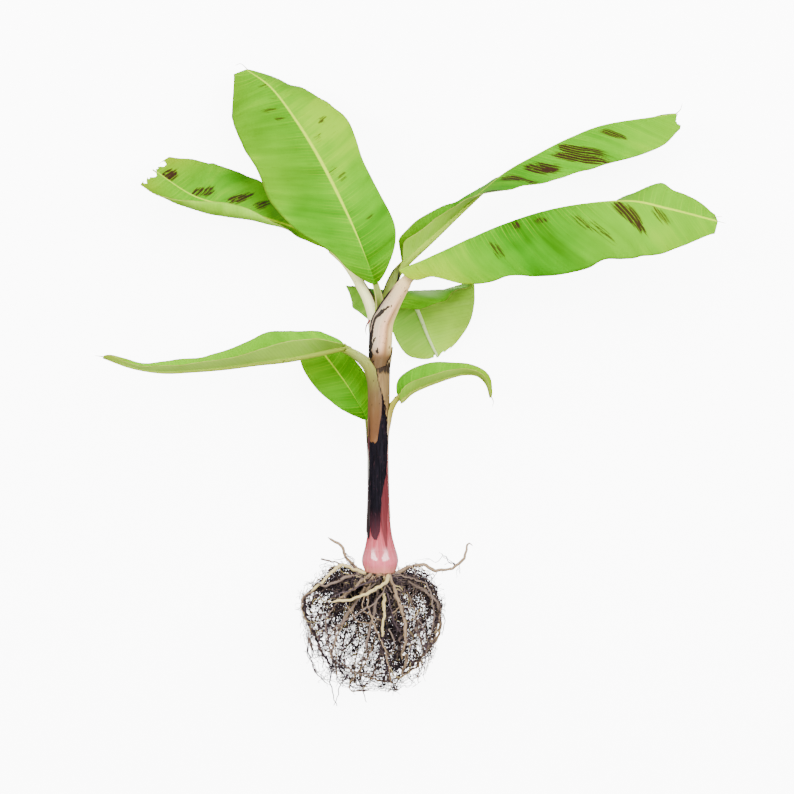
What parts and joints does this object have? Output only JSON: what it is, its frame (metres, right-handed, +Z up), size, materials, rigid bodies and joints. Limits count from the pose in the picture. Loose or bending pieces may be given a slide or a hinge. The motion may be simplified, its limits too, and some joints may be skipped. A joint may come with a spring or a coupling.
{
  "type": "bare-rooted young banana plant",
  "caption": "Young banana plant lying on its back with bare roots: a pink bulb and rolled stem, long arching green leaves with maroon streaks, and a pot-shaped tangle of roots.",
  "frame": {"origin": "on the floor, under the middle of the plant's bounding box", "axes": "+X to the plant's right as it is seen from above, +Y up its stem from the roots to the leaves, +Z up from the floor that it lies on"},
  "size_m": [0.5742, 0.595, 0.1242],
  "materials": {
    "stem": "smooth, waxy, pink to brown leaf sheaths",
    "leaf": "satin green blade, paler underneath, maroon streaks",
    "root": "matt, cream to dark brown fibre"
  },
  "bodies": {
    "root": {"pseudostem": "stem", "leaf_right_front": "leaf", "leaf_upper_left": "leaf", "leaf_upper_right": "leaf", "leaf_left_back": "leaf", "leaf_left_front": "leaf", "leaf_small_right": "leaf", "leaf_small_left": "leaf", "leaf_back": "leaf", "roots_front": "root", "roots_right": "root", "roots_back": "root", "roots_left": "root"}
  },
  "joints": []
}
